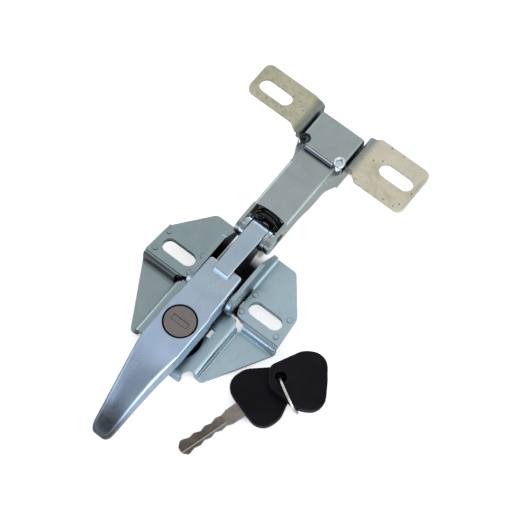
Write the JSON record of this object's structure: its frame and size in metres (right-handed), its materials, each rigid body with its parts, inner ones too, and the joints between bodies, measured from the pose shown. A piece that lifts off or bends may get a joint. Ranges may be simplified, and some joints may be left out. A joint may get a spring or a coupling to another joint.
{
  "type": "engine cover lock",
  "caption": "Key-locking lift handle on a slotted stamped base that draws back a spring-loaded latch bolt from a hat-shaped slotted keeper, with a key and a tag on a ring.",
  "frame": {"origin": "midway between the two base slots, on the top faces of the slotted pads", "axes": "+X along the lock towards the keeper, +Y to the left seen from the grip, +Z outward from the mounting plane"},
  "size_m": [0.182, 0.1165, 0.0322],
  "materials": {
    "base_zinc": "bright zinc, faint blue-green cast",
    "bolt_zinc": "grey zinc",
    "satin_chrome": "satin chrome on a die casting",
    "lock_face": "dull nickel, taupe",
    "steel": "bright zinc",
    "spring_black": "glossy black",
    "keeper_passivated": "ivory passivated zinc",
    "key_nickel": "dull nickel",
    "key_plastic": "satin black"
  },
  "bodies": {
    "base": {"base_plate": "base_zinc", "left_pad": "base_zinc", "right_pad": "base_zinc", "pivot_pin": "steel", "pivot_washers": "steel"},
    "handle": {"handle": "satin_chrome", "lock_sleeve": "steel", "link_pin": "steel"},
    "plug": {"lock_plug": "lock_face", "key_shutter": "lock_face", "lock_cam": "steel", "cam_screw": "steel"},
    "yoke": {"yoke": "steel", "link_washers": "steel", "draw_spring": "spring_black"},
    "bolt": {"latch_bolt": "bolt_zinc"},
    "keeper": {"keeper": "keeper_passivated"},
    "keys": {"key_blade": "key_nickel", "key_head": "key_plastic", "key_ring": "steel"},
    "tag": {"key_tag": "key_plastic"}
  },
  "joints": [
    {"name": "handle_lift", "type": "hinge", "parent": "base", "child": "handle", "pos_m": [-0.0058, 0, 0.006], "axis": [0, 1, 0], "range_deg": [0, 70]},
    {"name": "yoke_swing", "type": "hinge", "parent": "handle", "child": "yoke", "pos_m": [0.0242, 0, 0.0134], "axis": [0, 1, 0], "range_deg": [-103, 0]},
    {"name": "bolt_slide", "type": "slide", "parent": "yoke", "child": "bolt", "axis": [1, 0, 0], "range_m": [-0.004, 0], "stiffness_N_per_m": 400, "deforming": ["draw_spring"]},
    {"name": "plug_turn", "type": "hinge", "parent": "handle", "child": "plug", "pos_m": [-0.031, 0, 0], "axis": [0, 0, 1], "range_deg": [0, 90]},
    {"name": "keeper_slide", "type": "slide", "parent": "base", "child": "keeper", "axis": [1, 0, 0], "range_m": [0, 0.03]},
    {"name": "keys_lift", "type": "slide", "parent": "base", "child": "keys", "axis": [0, 0, 1], "range_m": [0, 0.06]},
    {"name": "tag_turn", "type": "hinge", "parent": "keys", "child": "tag", "pos_m": [-0.02009, -0.04829, 0], "axis": [0, 0, 1], "range_deg": [0, 20]}
  ],
  "couplings": [
    {"joint": "yoke_swing", "follows": "handle_lift", "ratio": -1.46}
  ]
}
